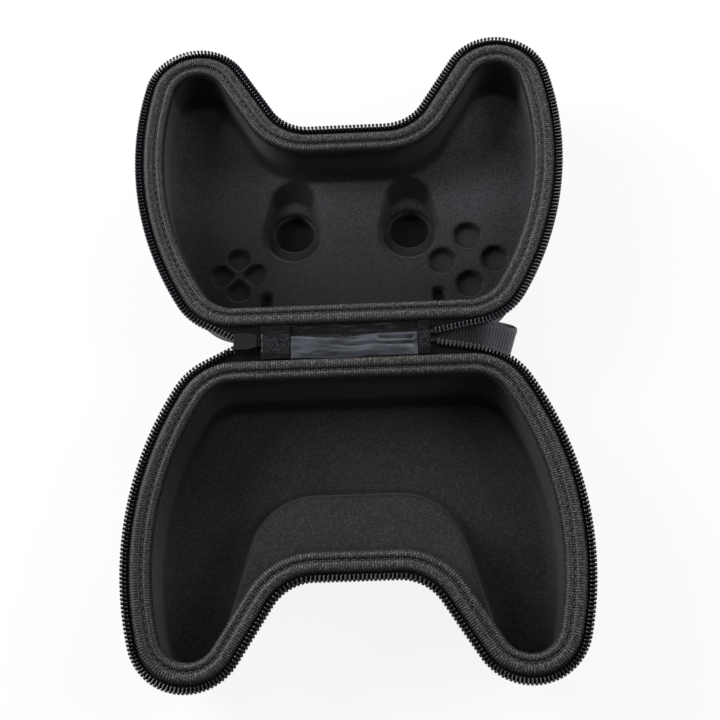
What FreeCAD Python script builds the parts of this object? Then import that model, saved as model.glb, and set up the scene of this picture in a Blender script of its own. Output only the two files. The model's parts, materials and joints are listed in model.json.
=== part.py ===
import FreeCAD
import Part
import Sketcher
import math
import os

# Moulded carrying case, open flat on its back: a base half at -Y and a lid half at +Y of a cloth hinge.
# The frame stands on the floor under the middle of the hinge axis, with X along the hinge and Z up.
# Each half is made in base position; a lid piece is the same form turned half round about Z.

document = FreeCAD.newDocument("carrying_case")
sheet = document.addObject("Spreadsheet::Sheet", "Sizes")

DRIVING_SIZES = [
    # height of the rims, and the plan outline of the zip teeth
    ("rim_height", 38.0),
    ("half_width", 88.4),
    ("widest_at", 86.0),
    ("side_radius", 134.0),
    ("corner_radius", 27.0),
    ("lobe_radius", 22.5),
    ("lobe_reach", 135.0),
    ("notch_reach", 95.6),
    ("notch_radius", 18.0),
    ("notch_from_lobe", 47.1),
    ("hinge_gap", 4.0),
    # moulded shell
    ("shell_inset", 4.0),
    ("shell_wall", 3.0),
    ("shell_draft", 6.0),
    ("shell_round", 13.0),
    ("piece_gap", 0.3),
    # moulded lining
    ("lining_wall", 2.5),
    ("lining_draft", 6.0),
    ("lining_round", 5.0),
    ("base_floor", 9.0),
    ("lid_floor", 15.5),
    ("saddle_reach", 70.0),
    ("saddle_radius", 15.0),
    ("saddle_from_lobe", 46.9),
    ("saddle_depth", 13.0),
    ("saddle_round", 6.0),
    # bound edge
    ("binding_inset", 3.6),
    ("binding_width", 7.5),
    ("binding_drop", 0.4),
    ("binding_depth", 3.6),
    ("binding_round", 1.5),
    ("groove_width", 1.0),
    ("groove_depth", 0.8),
    ("groove_draft", 15.0),
    # zip
    ("chain_width", 1.6),
    ("chain_depth", 1.8),
    ("chain_drop", 0.15),
    ("chain_offset", 1.0),
    ("tape_depth", 0.8),
    ("tape_tuck", 0.5),
    ("tape_seat", 0.05),
    # the zip ends keep their distance from the widest line of their side
    ("zip_left_margin", 41.6),
    ("zip_right_margin", 55.4),
    ("zip_left", "=half_width - zip_left_margin"),
    ("zip_right", "=half_width - zip_right_margin"),
    ("slider_set", 0.5),
    ("slider_left", "=zip_left - slider_set"),
    ("slider_long", 9.2),
    # hinge cloth, from the slider to the right end of the zip
    ("spine_clear", 1.1),
    ("left_patch", 12.0),
    ("right_patch", 7.0),
    ("spine_left", "=slider_left - slider_long - spine_clear"),
    ("spine_right", "=zip_right"),
    ("satin_left", "=spine_left - left_patch"),
    ("satin_right", "=spine_right - right_patch"),
    ("satin_cloth", 0.6),
    # slider, pull and stops
    ("slider_width", 6.8),
    ("slider_plate", 0.9),
    ("slider_tail", 5.0),
    ("slider_taper", 3.1),
    ("slider_clear", 0.5),
    ("slider_wall", 0.6),
    ("slider_round", 0.8),
    ("wedge_set", 0.5),
    ("wedge_long", 2.4),
    ("wedge_wide", 1.6),
    ("channel_play", 0.2),
    ("seat_play", 0.1),
    ("crown_long", 4.6),
    ("crown_foot", 3.1),
    ("crown_wide", 1.6),
    ("crown_wall", 0.8),
    ("pin_drop", 1.6),
    ("window_long", 3.6),
    ("stop_thick", 0.9),
    ("pull_wide", 5.6),
    ("pull_long", 22.0),
    ("pull_thick", 1.2),
    ("pull_round", 1.9),
    ("pin_radius", 0.7),
    ("stop_long", 1.6),
    # webbing loop
    ("strap_width", 14.0),
    ("strap_cloth", 1.3),
    ("strap_hole", 5.0),
    ("strap_sag", 1.2),
    ("strap_overlap", 15.0),
    ("strap_start", "=spine_right - strap_overlap"),
    ("strap_sewn", 12.0),
    ("strap_reach", 36.5),
    ("strap_end", "=spine_right + strap_reach"),
    # deep wells of the lid lining
    ("press_rise", 1.5),
    ("well_apart", 48.6),
    ("well_from_hinge", 57.0),
    ("well_radius", 13.4),
    ("well_lead", 16.4),
    ("well_lead_radius", 10.2),
    ("well_depth", 5.2),
    ("well_floor_radius", 10.8),
    ("well_floor_lead", 9.3),
    ("well_floor_lead_radius", 8.0),
    ("stick_from_hinge", 59.8),
    ("stick_radius", 8.9),
    ("stick_depth", 6.0),
    ("stick_draft", 25.0),
    # shallow dimples of the lid lining
    ("button_radius", 5.5),
    ("button_ring", 11.0),
    ("button_across", 48.4),
    ("button_from_hinge", 42.0),
    ("dimple_depth", 2.3),
    ("dimple_draft", 20.0),
    ("petal_across", 47.2),
    ("petal_from_hinge", 38.6),
    ("petal_start", 1.6),
    ("petal_long", 11.6),
    ("petal_radius", 4.0),
    ("petal_point", 0.8),
    ("slot_across", 35.6),
    ("slot_from_hinge", 26.2),
    ("slot_long", 8.4),
    ("slot_radius", 2.7),
    ("slot_depth", 3.2),
    ("slot_lean", 8.0),
    ("slot_draft", 10.0),
]

for row, (alias, entry) in enumerate(DRIVING_SIZES, start=1):
    sheet.set(f"A{row}", alias)
    sheet.set(f"B{row}", str(entry))
    sheet.setAlias(f"B{row}", alias)
document.recompute()


def value(expression):
    return float(sheet.evalExpression(expression))


def size(alias):
    return value(f"Sizes.{alias}")


# Heights that several pieces share, as expressions over the sheet
BINDING_TOP = "(Sizes.rim_height - Sizes.binding_drop)"
BINDING_FOOT = f"({BINDING_TOP} - Sizes.binding_depth)"
WALL_TOP = f"({BINDING_FOOT} - Sizes.piece_gap)"
CHAIN_TOP = "(Sizes.rim_height - Sizes.chain_drop)"
CHAIN_FOOT = f"({CHAIN_TOP} - Sizes.chain_depth)"
TAPE_TOP = f"({CHAIN_FOOT} - Sizes.tape_seat)"
TAPE_FOOT = f"({TAPE_TOP} - Sizes.tape_depth)"
LINING_INSET = "(Sizes.shell_inset + Sizes.shell_wall + Sizes.piece_gap)"
CAVITY_INSET = f"({LINING_INSET} + Sizes.lining_wall)"
LINING_FOOT = "(Sizes.shell_wall + Sizes.piece_gap)"
TAPE_INNER = "(Sizes.binding_inset - Sizes.piece_gap)"

AS_BASE = FreeCAD.Placement()
AS_LID = FreeCAD.Placement(FreeCAD.Vector(), FreeCAD.Rotation(FreeCAD.Vector(0, 0, 1), 180))


def new_body(label, placement=AS_BASE):
    body = document.addObject("PartDesign::Body", label)
    body.Label = label
    body.Placement = placement
    return body


def new_sketch(body, name, plane, offset):
    """A sketch on one of the body's origin planes, moved along the plane's normal."""
    sketch = body.newObject("Sketcher::SketchObject", name)
    support = next(item for item in body.Origin.OriginFeatures if item.Role == plane)
    sketch.AttachmentSupport = [(support, "")]
    sketch.MapMode = "FlatFace"
    sketch.setExpression("AttachmentOffset.Base.z", offset)
    return sketch


def drive(sketch, kind, *where, by):
    """Adds a dimension to the sketch and binds it to the sheet."""
    index = sketch.addConstraint(Sketcher.Constraint(kind, *where, value(by)))
    sketch.setExpression(f"Constraints[{index}]", by)


def line(sketch, start, end):
    return sketch.addGeometry(Part.LineSegment(FreeCAD.Vector(*start, 0), FreeCAD.Vector(*end, 0)))


def arc(sketch, centre, radius, start, end):
    circle = Part.Circle(FreeCAD.Vector(*centre, 0), FreeCAD.Vector(0, 0, 1), radius)
    return sketch.addGeometry(Part.ArcOfCircle(circle, start, end))


def place_point(sketch, item, vertex, across, along):
    drive(sketch, "DistanceX", -1, 1, item, vertex, by=across)
    drive(sketch, "DistanceY", -1, 1, item, vertex, by=along)


# Plan outline

def outline_centres(notch_name="notch"):
    """Centres of the right half's arcs, and the direction that the edge between lobe and notch faces."""
    side = (size("half_width") - size("side_radius"), -size("widest_at"))
    corner_y = -(size("hinge_gap") + size("corner_radius"))
    corner_span = size("side_radius") - size("corner_radius")
    corner = (side[0] + math.sqrt(corner_span**2 - (corner_y - side[1])**2), corner_y)
    lobe_y = -(size("lobe_reach") - size("lobe_radius"))
    lobe_span = size("side_radius") - size("lobe_radius")
    lobe = (side[0] + math.sqrt(lobe_span**2 - (lobe_y - side[1])**2), lobe_y)
    notch_radius = size(f"{notch_name}_radius")
    notch = (lobe[0] - size(f"{notch_name}_from_lobe"), -(size(f"{notch_name}_reach") + notch_radius))
    across = (notch[0] - lobe[0], notch[1] - lobe[1])
    lean = math.acos((size("lobe_radius") + notch_radius) / math.hypot(*across))
    turn = math.atan2(across[1], across[0]) + lean
    return side, corner, lobe, notch, turn


def outline_side(sketch, hand, shift, zip_end, notch_name):
    """One side's arcs and edges, drawn in place; each item is (geometry, first vertex, last vertex)."""
    side, corner, lobe, notch, turn = outline_centres(notch_name)
    out = math.atan2(corner[1] - side[1], corner[0] - side[0])
    down = math.atan2(lobe[1] - side[1], lobe[0] - side[0])
    corner_radius = size("corner_radius") - shift
    corner_end = math.pi / 2
    if zip_end:
        end = (size(zip_end), -(size("chain_offset") + shift))
        run = (corner[0] - end[0], corner[1] - end[1])
        lean = math.acos(corner_radius / math.hypot(*run))
        corner_end = math.atan2(-run[1], -run[0]) - lean
    spans = [
        (notch, size(f"{notch_name}_radius") + shift, turn + math.pi, math.pi / 2),
        (lobe, size("lobe_radius") - shift, turn, down),
        (side, size("side_radius") - shift, down, out),
        (corner, corner_radius, out, corner_end),
    ]
    items = []
    for centre, radius, start, stop in spans:
        if hand > 0:
            items.append((arc(sketch, centre, radius, start, stop), 1, 2))
        else:
            mirrored = (-centre[0], centre[1])
            items.append((arc(sketch, mirrored, radius, math.pi - stop, math.pi - start), 2, 1))
    notch_item, lobe_item, side_item, corner_item = items
    foot = (notch[0] - spans[0][1] * math.cos(turn), notch[1] - spans[0][1] * math.sin(turn))
    head = (lobe[0] + spans[1][1] * math.cos(turn), lobe[1] + spans[1][1] * math.sin(turn))
    edge = line(sketch, (hand * foot[0], foot[1]), (hand * head[0], head[1]))
    chain = [(notch_item[0], notch_item[2], notch_item[1]), (edge, 1, 2), lobe_item, side_item, corner_item]
    if zip_end:
        top_x = corner[0] + corner_radius * math.cos(corner_end)
        top_y = corner[1] + corner_radius * math.sin(corner_end)
        chain.append((line(sketch, (hand * top_x, top_y), (hand * end[0], end[1])), 1, 2))
    return chain


def add_outline(sketch, inset, zip_ends=False, notch="notch"):
    """Draws a closed plan outline, set inside the line of the teeth by the inset.

    With zip_ends the back corners run on to the two ends of the zip beside the hinge axis.
    """
    shift = value(inset)
    corner, notch_centre = outline_centres(notch)[1], outline_centres(notch)[3]
    front_y = shift - size(f"{notch}_reach")
    back_from = "chain_offset" if zip_ends else "hinge_gap"
    back_y = -(size(back_from) + shift)
    back_ends = (size("zip_right"), -size("zip_left")) if zip_ends else (corner[0], -corner[0])
    front = line(sketch, (-notch_centre[0], front_y), (notch_centre[0], front_y))
    back = line(sketch, (back_ends[0], back_y), (back_ends[1], back_y))
    for hand, end_size in ((1, "zip_right"), (-1, "zip_left")):
        chain = outline_side(sketch, hand, shift, end_size if zip_ends else None, notch)
        notch_arc, _, lobe_arc, side_arc, corner_arc = [item[0] for item in chain[:5]]
        front_vertex = 2 if hand > 0 else 1
        back_vertex = 1 if hand > 0 else 2
        sketch.addConstraint(Sketcher.Constraint("Tangent", front, front_vertex, chain[0][0], chain[0][1]))
        for one, other in zip(chain, chain[1:]):
            sketch.addConstraint(Sketcher.Constraint("Tangent", one[0], one[2], other[0], other[1]))
        joint = "Coincident" if zip_ends else "Tangent"
        sketch.addConstraint(Sketcher.Constraint(joint, chain[-1][0], chain[-1][2], back, back_vertex))
        drive(sketch, "Radius", notch_arc, by=f"Sizes.{notch}_radius + {inset}")
        drive(sketch, "Radius", lobe_arc, by=f"Sizes.lobe_radius - {inset}")
        drive(sketch, "Radius", side_arc, by=f"Sizes.side_radius - {inset}")
        drive(sketch, "Radius", corner_arc, by=f"Sizes.corner_radius - {inset}")
        inner, outer = (notch_arc, lobe_arc) if hand > 0 else (lobe_arc, notch_arc)
        drive(sketch, "DistanceX", inner, 3, outer, 3, by=f"Sizes.{notch}_from_lobe")
        drive(sketch, "DistanceX", -1, 1, side_arc, 3, by=f"{hand} * (Sizes.half_width - Sizes.side_radius)")
        drive(sketch, "DistanceY", -1, 1, side_arc, 3, by="-Sizes.widest_at")
        drive(sketch, "DistanceY", -1, 1, lobe_arc, 3, by="Sizes.lobe_radius - Sizes.lobe_reach")
        if zip_ends:
            drive(sketch, "DistanceX", -1, 1, back, back_vertex, by=f"{hand} * Sizes.{end_size}")
            drive(sketch, "DistanceY", -1, 1, corner_arc, 3, by="-(Sizes.hinge_gap + Sizes.corner_radius)")
    for item in (front, back):
        sketch.addConstraint(Sketcher.Constraint("Horizontal", item))
    drive(sketch, "DistanceY", -1, 1, front, 1, by=f"{inset} - Sizes.{notch}_reach")
    drive(sketch, "DistanceY", -1, 1, back, 1, by=f"-(Sizes.{back_from} + {inset})")


def outline_sketch(body, name, height, *insets, **options):
    sketch = new_sketch(body, name, "XY_Plane", height)
    for inset in insets:
        add_outline(sketch, inset, **options)
    return sketch


def add_polygon(sketch, corners):
    """Closed polygon through corners that are pairs of expressions."""
    points = [(value(across), value(along)) for across, along in corners]
    sides = [line(sketch, *ends) for ends in zip(points, points[1:] + points[:1])]
    for one, other in zip(sides, sides[1:] + sides[:1]):
        sketch.addConstraint(Sketcher.Constraint("Coincident", one, 2, other, 1))
    for item, (across, along) in zip(sides, corners):
        place_point(sketch, item, 1, across, along)


def add_circle(sketch, across, along, radius):
    circle = Part.Circle(
        FreeCAD.Vector(value(across), value(along), 0), FreeCAD.Vector(0, 0, 1), value(radius),
    )
    ring = sketch.addGeometry(circle)
    place_point(sketch, ring, 3, across, along)
    drive(sketch, "Radius", ring, by=radius)


def box_corners(left, right, front, back):
    return [(left, front), (right, front), (right, back), (left, back)]


def add_drop(sketch, big, big_radius, small, small_radius):
    """Drop outline: a large and a small arc joined by their two outer tangents."""
    heel = (value(big[0]), value(big[1]))
    toe = (value(small[0]), value(small[1]))
    heel_radius, toe_radius = value(big_radius), value(small_radius)
    run = (toe[0] - heel[0], toe[1] - heel[1])
    aim = math.atan2(run[1], run[0])
    lean = math.acos((heel_radius - toe_radius) / math.hypot(*run))
    heel_arc = arc(sketch, heel, heel_radius, aim + lean, aim - lean + 2 * math.pi)
    toe_arc = arc(sketch, toe, toe_radius, aim - lean, aim + lean)

    def touch(centre, radius, angle):
        return centre[0] + radius * math.cos(angle), centre[1] + radius * math.sin(angle)

    first = line(sketch, touch(heel, heel_radius, aim + lean), touch(toe, toe_radius, aim + lean))
    last = line(sketch, touch(toe, toe_radius, aim - lean), touch(heel, heel_radius, aim - lean))
    for one, one_end, other, other_end in (
        (heel_arc, 1, first, 1), (first, 2, toe_arc, 2), (toe_arc, 1, last, 1), (last, 2, heel_arc, 2),
    ):
        sketch.addConstraint(Sketcher.Constraint("Tangent", one, one_end, other, other_end))
    place_point(sketch, heel_arc, 3, *big)
    place_point(sketch, toe_arc, 3, *small)
    drive(sketch, "Radius", heel_arc, by=big_radius)
    drive(sketch, "Radius", toe_arc, by=small_radius)


# Features

SAME_PLACE = 0.01


def add_feature(body, kind, name, profile, **driven):
    feature = body.newObject(f"PartDesign::{kind}", name)
    feature.Profile = profile
    profile.Visibility = False
    for key, expression in driven.items():
        feature.setExpression(key, expression)
    return feature


def pad(body, name, profile, length, down=False, centred=False, taper=None):
    feature = add_feature(body, "Pad", name, profile, Length=length)
    if taper:
        feature.setExpression("TaperAngle", taper)
    if centred:
        feature.SideType = "Symmetric"
    feature.Reversed = down
    document.recompute()
    return feature


def pocket(body, name, profile, length, taper=None):
    feature = add_feature(body, "Pocket", name, profile, Length=length)
    if taper:
        feature.setExpression("TaperAngle", taper)
    document.recompute()
    return feature


def round_edges(body, name, radius, chosen):
    """Fillets the edges of the body's tip that the test picks."""
    base = body.Tip
    names = [f"Edge{i}" for i, edge in enumerate(base.Shape.Edges, start=1) if chosen(edge)]
    feature = body.newObject("PartDesign::Fillet", name)
    feature.Base = (base, names)
    feature.setExpression("Radius", radius)
    document.recompute()
    return feature


def level(height):
    """Test for edges that lie flat at a height."""
    z = value(height)
    return lambda edge: abs(edge.BoundBox.ZMin - z) < SAME_PLACE and abs(edge.BoundBox.ZMax - z) < SAME_PLACE


def rounded_block(label, placement, inset, foot, draft, radius, notch="notch"):
    """Drafted block under the rim, inset in plan, with its lower edge rounded."""
    body = new_body(label, placement)
    plan = outline_sketch(body, f"{label}_plan", WALL_TOP, inset, notch=notch)
    pad(body, f"{label}_block", plan, f"{WALL_TOP} - {foot}", down=True, taper=f"-{draft}")
    round_edges(body, f"{label}_round", radius, level(foot))
    return body


def hollow(body, space):
    """Takes the space, a body of its own that stays in base position, out of the body."""
    feature = body.newObject("PartDesign::Boolean", f"{body.Label}_hollow")
    feature.Type = "Cut"
    feature.setObjects([space])
    document.recompute()


# Moulded shells: drafted wall, rounded foot, open at the rim

def make_shell(label, placement):
    body = rounded_block(
        label, placement, "Sizes.shell_inset", "0", "Sizes.shell_draft", "Sizes.shell_round",
    )
    space = rounded_block(
        f"{label}_space", AS_BASE, "(Sizes.shell_inset + Sizes.shell_wall)", "Sizes.shell_wall",
        "Sizes.shell_draft", "Sizes.shell_round - Sizes.shell_wall",
    )
    hollow(body, space)
    return body


base_shell = make_shell("base_shell", AS_BASE)
lid_shell = make_shell("lid_shell", AS_LID)


# Moulded linings, glued inside the shells

def make_lining(label, placement, *spaces):
    """Lining block with its spaces taken out, each given as (floor height, floor's round, notch form)."""
    body = rounded_block(
        label, placement, LINING_INSET, LINING_FOOT, "Sizes.shell_draft",
        "Sizes.shell_round - Sizes.shell_wall - Sizes.piece_gap",
    )
    for number, (floor, radius, notch) in enumerate(spaces):
        space = rounded_block(
            f"{label}_space_{number}", AS_BASE, CAVITY_INSET, floor, "Sizes.lining_draft", radius,
            notch=notch,
        )
        hollow(body, space)
    return body


# The base lining is deep under the lobes and the back, with a shallow saddle between the lobes
base_lining = make_lining(
    "base_lining", AS_BASE, ("Sizes.base_floor", "Sizes.lining_round", "saddle"),
    ("(Sizes.rim_height - Sizes.saddle_depth)", "Sizes.saddle_round", "notch"),
)


# The lid lining has two deep wells with sloping lead-ins, and shallow round, petal and slot dimples

LID_FLOOR = "Sizes.lid_floor"
lid_lining = make_lining("lid_lining", AS_LID, (LID_FLOOR, "Sizes.lining_round", "notch"))
WELL_FLOOR = f"({LID_FLOOR} - Sizes.well_depth)"

# The press starts a little above the floor, so that wells and dimples also bite into the round of the walls
PRESS_TOP = f"({LID_FLOOR} + Sizes.press_rise)"
DIMPLE_SPREAD = "Sizes.press_rise * tan(Sizes.dimple_draft)"

for hand, side_name in ((1, "left"), (-1, "right")):
    across = f"{hand} * Sizes.well_apart / 2"
    mouth = new_sketch(lid_lining, f"{side_name}_well_mouth", "XY_Plane", PRESS_TOP)
    add_drop(
        mouth, (across, "-Sizes.well_from_hinge"), "Sizes.well_radius",
        (across, "-(Sizes.well_from_hinge + Sizes.well_lead)"), "Sizes.well_lead_radius",
    )
    floor = new_sketch(lid_lining, f"{side_name}_well_floor", "XY_Plane", WELL_FLOOR)
    add_drop(
        floor, (across, "-Sizes.well_from_hinge"), "Sizes.well_floor_radius",
        (across, "-(Sizes.well_from_hinge + Sizes.well_floor_lead)"), "Sizes.well_floor_lead_radius",
    )
    well = lid_lining.newObject("PartDesign::SubtractiveLoft", f"{side_name}_well")
    well.Profile = floor
    well.Sections = [mouth]
    well.Ruled = True
    document.recompute()
    stick = new_sketch(lid_lining, f"{side_name}_stick_plan", "XY_Plane", WELL_FLOOR)
    add_circle(stick, across, "-Sizes.stick_from_hinge", "Sizes.stick_radius")
    pocket(lid_lining, f"{side_name}_stick_well", stick, "Sizes.stick_depth", taper="-Sizes.stick_draft")

QUARTER_TURNS = ((1, 0), (0, 1), (-1, 0), (0, -1))

DIMPLE_CUT = "(Sizes.dimple_depth + Sizes.press_rise)"
buttons = new_sketch(lid_lining, "button_plan", "XY_Plane", PRESS_TOP)
for turn_x, turn_y in QUARTER_TURNS:
    across = f"{turn_x} * Sizes.button_ring - Sizes.button_across"
    along = f"{turn_y} * Sizes.button_ring - Sizes.button_from_hinge"
    add_circle(buttons, across, along, f"Sizes.button_radius + {DIMPLE_SPREAD}")
pocket(lid_lining, "button_dimples", buttons, DIMPLE_CUT, taper="-Sizes.dimple_draft")

petals = new_sketch(lid_lining, "petal_plan", "XY_Plane", PRESS_TOP)
PETAL_OUT = "(Sizes.petal_long - Sizes.petal_radius)"
PETAL_IN = "(Sizes.petal_start + Sizes.petal_point)"
for turn_x, turn_y in QUARTER_TURNS:
    ends = []
    for reach in (PETAL_OUT, PETAL_IN):
        ends.append((
            f"Sizes.petal_across + {turn_x} * {reach}", f"{turn_y} * {reach} - Sizes.petal_from_hinge",
        ))
    big, small = [f"Sizes.petal_{end} + {DIMPLE_SPREAD}" for end in ("radius", "point")]
    add_drop(petals, ends[0], big, ends[1], small)
pocket(lid_lining, "petal_dimples", petals, DIMPLE_CUT, taper="-Sizes.dimple_draft")

slots = new_sketch(lid_lining, "slot_plan", "XY_Plane", PRESS_TOP)
SLOT_HALF = "(Sizes.slot_long / 2 - Sizes.slot_radius)"
for hand in (1, -1):
    ends = []
    for end in (1, -1):
        ends.append((
            f"{hand} * (Sizes.slot_across + {end} * {SLOT_HALF} * sin(Sizes.slot_lean))",
            f"{end} * {SLOT_HALF} * cos(Sizes.slot_lean) - Sizes.slot_from_hinge",
        ))
    add_drop(slots, ends[0], "Sizes.slot_radius", ends[1], "Sizes.slot_radius")
pocket(lid_lining, "slot_dimples", slots, "(Sizes.slot_depth + Sizes.press_rise)", taper="-Sizes.slot_draft")


# Bound edges: a ribbon folded over shell and lining, with one sewn groove round its top

def make_binding(label, placement):
    body = new_body(label, placement)
    band = outline_sketch(
        body, f"{label}_band_plan", BINDING_FOOT, "Sizes.binding_inset",
        "(Sizes.binding_inset + Sizes.binding_width)",
    )
    pad(body, f"{label}_band", band, "Sizes.binding_depth")
    round_edges(body, f"{label}_puff", "Sizes.binding_round", level(BINDING_TOP))
    middle = "(Sizes.binding_inset + Sizes.binding_width / 2)"
    seam = outline_sketch(
        body, f"{label}_seam_plan", BINDING_TOP, f"({middle} - Sizes.groove_width / 2)",
        f"({middle} + Sizes.groove_width / 2)",
    )
    pocket(body, f"{label}_seam", seam, "Sizes.groove_depth", taper="-Sizes.groove_draft")
    return body


base_binding = make_binding("base_binding", AS_BASE)
lid_binding = make_binding("lid_binding", AS_LID)


# Zip halves: a woven tape from the bound edge out to the teeth, open along the hinge.
# The two ends of a zip half differ, so the lid's half is the base's seen in a mirror at the hinge plane.

def mirrored_twin(label, source):
    twin = document.addObject("Part::Mirroring", label)
    twin.Label = label
    twin.Source = source
    twin.Base = FreeCAD.Vector(0, 0, 0)
    twin.Normal = FreeCAD.Vector(0, 1, 0)
    return twin


base_zip_tape = new_body("base_zip_tape")
tape_plan = new_sketch(base_zip_tape, "tape_plan", "XY_Plane", TAPE_FOOT)
add_outline(tape_plan, "Sizes.tape_tuck", zip_ends=True)
add_outline(tape_plan, TAPE_INNER)
pad(base_zip_tape, "tape", tape_plan, "Sizes.tape_depth")
spine_gap = new_sketch(base_zip_tape, "spine_gap_plan", "XY_Plane", TAPE_TOP)
HINGE_SEAT = f"(Sizes.hinge_gap + {TAPE_INNER})"
add_polygon(spine_gap, box_corners(
    "-Sizes.spine_left", "Sizes.spine_right", f"-({HINGE_SEAT} + Sizes.tape_tuck)", "0",
))
pocket(base_zip_tape, "spine_gap", spine_gap, "Sizes.tape_depth")
slider_gap = new_sketch(base_zip_tape, "slider_gap_plan", "XY_Plane", TAPE_TOP)
add_polygon(slider_gap, box_corners(
    "-(Sizes.zip_left + Sizes.slider_clear)", "-Sizes.spine_left + Sizes.slider_clear",
    "-(Sizes.slider_width / 2 + Sizes.slider_clear)", "0",
))
pocket(base_zip_tape, "slider_gap", slider_gap, "Sizes.tape_depth")
lid_zip_tape = mirrored_twin("lid_zip_tape", base_zip_tape)

base_zip_teeth = new_body("base_zip_teeth")
chain_plan = new_sketch(base_zip_teeth, "chain_plan", "XY_Plane", CHAIN_FOOT)
add_outline(chain_plan, "0", zip_ends=True)
add_outline(chain_plan, "Sizes.chain_width", zip_ends=True)
pad(base_zip_teeth, "chain", chain_plan, "Sizes.chain_depth")
chain_gap = new_sketch(base_zip_teeth, "chain_gap_plan", "XY_Plane", CHAIN_TOP)
add_polygon(chain_gap, box_corners(
    "-Sizes.zip_left", "Sizes.zip_right", "-(Sizes.chain_offset + 2 * Sizes.chain_width)", "0",
))
pocket(base_zip_teeth, "chain_gap", chain_gap, "Sizes.chain_depth")
lid_zip_teeth = mirrored_twin("lid_zip_teeth", base_zip_teeth)


def make_block(label, left, right, front, back, foot, depth):
    body = new_body(label)
    plan = new_sketch(body, f"{label}_plan", "XY_Plane", foot)
    add_polygon(plan, box_corners(left, right, front, back))
    pad(body, f"{label}_block", plan, depth)
    return body


STOP_RIGHT = "(Sizes.zip_right - Sizes.piece_gap)"
base_end_stop = make_block(
    "base_end_stop", f"{STOP_RIGHT} - Sizes.stop_long", STOP_RIGHT,
    "-(Sizes.chain_offset + Sizes.chain_width)", "-Sizes.chain_offset", CHAIN_FOOT, "Sizes.chain_depth",
)
lid_end_stop = mirrored_twin("lid_end_stop", base_end_stop)


# Hinge: spine cloth level with the tapes, and on it the satin facing between two woven end patches

SPINE_END_LEFT = "(Sizes.spine_left - Sizes.piece_gap)"
SPINE_END_RIGHT = "(Sizes.spine_right - Sizes.piece_gap)"
FACING_FOOT = f"({TAPE_TOP} + Sizes.piece_gap)"
FACING_EDGE = f"({HINGE_SEAT} - Sizes.piece_gap)"
spine = make_block(
    "hinge_spine", f"-{SPINE_END_LEFT}", SPINE_END_RIGHT, f"-{HINGE_SEAT}", HINGE_SEAT, TAPE_FOOT,
    "Sizes.tape_depth",
)
satin = make_block(
    "hinge_satin", "-Sizes.satin_left", "Sizes.satin_right", f"-{FACING_EDGE}", FACING_EDGE, FACING_FOOT,
    "Sizes.satin_cloth",
)
left_patch = make_block(
    "left_hinge_patch", f"-{SPINE_END_LEFT}", "-(Sizes.satin_left + Sizes.piece_gap)", f"-{FACING_EDGE}",
    FACING_EDGE, FACING_FOOT, "Sizes.satin_cloth",
)
right_patch = make_block(
    "right_hinge_patch", "Sizes.satin_right + Sizes.piece_gap",
    f"{SPINE_END_RIGHT} - Sizes.stop_long - Sizes.piece_gap", f"-{FACING_EDGE}", FACING_EDGE, FACING_FOOT,
    "Sizes.satin_cloth",
)


# Slider parked at the left end, round the last joined teeth: two plates held apart by a wedge at its mouth

PLATE_TOP = f"({CHAIN_TOP} + Sizes.channel_play + Sizes.slider_plate)"
CHANNEL_TOP = f"({CHAIN_TOP} + Sizes.channel_play)"
SLOT_TOP = f"({TAPE_TOP} + Sizes.channel_play)"
CHANNEL_FOOT = f"({TAPE_FOOT} - Sizes.channel_play)"
PLATE_FOOT = f"({CHANNEL_FOOT} - Sizes.slider_plate)"
SLIDER_RIGHT = "(Sizes.slider_long - Sizes.slider_left)"
CHANNEL_HALF = "(Sizes.chain_width + Sizes.channel_play)"

zip_slider = new_body("zip_slider")
shield = new_sketch(zip_slider, "slider_plan", "XY_Plane", PLATE_FOOT)
add_polygon(shield, [
    ("-Sizes.slider_left", "-Sizes.slider_width / 2"),
    (f"{SLIDER_RIGHT} - Sizes.slider_taper", "-Sizes.slider_width / 2"),
    (SLIDER_RIGHT, "-Sizes.slider_tail / 2"),
    (SLIDER_RIGHT, "Sizes.slider_tail / 2"),
    (f"{SLIDER_RIGHT} - Sizes.slider_taper", "Sizes.slider_width / 2"),
    ("-Sizes.slider_left", "Sizes.slider_width / 2"),
])
pad(zip_slider, "slider_block", shield, f"{PLATE_TOP} - {PLATE_FOOT}")
round_edges(
    zip_slider, "slider_corners", "Sizes.slider_round",
    lambda edge: abs(edge.BoundBox.ZLength - value(f"{PLATE_TOP} - {PLATE_FOOT}")) < SAME_PLACE,
)


def add_wedge(sketch):
    """Diamond section of the wedge that parts the two chains."""
    add_polygon(sketch, [
        ("-Sizes.slider_left + Sizes.wedge_set", "0"),
        ("-Sizes.slider_left + Sizes.wedge_set + Sizes.wedge_long / 2", "-Sizes.wedge_wide / 2"),
        ("-Sizes.slider_left + Sizes.wedge_set + Sizes.wedge_long", "0"),
        ("-Sizes.slider_left + Sizes.wedge_set + Sizes.wedge_long / 2", "Sizes.wedge_wide / 2"),
    ])


channel = new_sketch(zip_slider, "channel_plan", "XY_Plane", CHANNEL_TOP)
MOUTH_X = "(-Sizes.slider_left - Sizes.slider_wall)"
TAIL_X = f"({SLIDER_RIGHT} + Sizes.slider_wall)"
FLARE_X = "(-Sizes.slider_left + Sizes.wedge_set + Sizes.wedge_long)"
FLARE_HALF = "(Sizes.slider_width / 2 - Sizes.slider_wall)"
add_polygon(channel, [
    (MOUTH_X, f"-{FLARE_HALF}"), (FLARE_X, f"-{CHANNEL_HALF}"), (TAIL_X, f"-{CHANNEL_HALF}"),
    (TAIL_X, CHANNEL_HALF), (FLARE_X, CHANNEL_HALF), (MOUTH_X, FLARE_HALF),
])
add_wedge(channel)
pocket(zip_slider, "channel", channel, f"{CHANNEL_TOP} - {CHANNEL_FOOT}")
tape_slot = new_sketch(zip_slider, "tape_slot_plan", "XY_Plane", SLOT_TOP)
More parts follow.
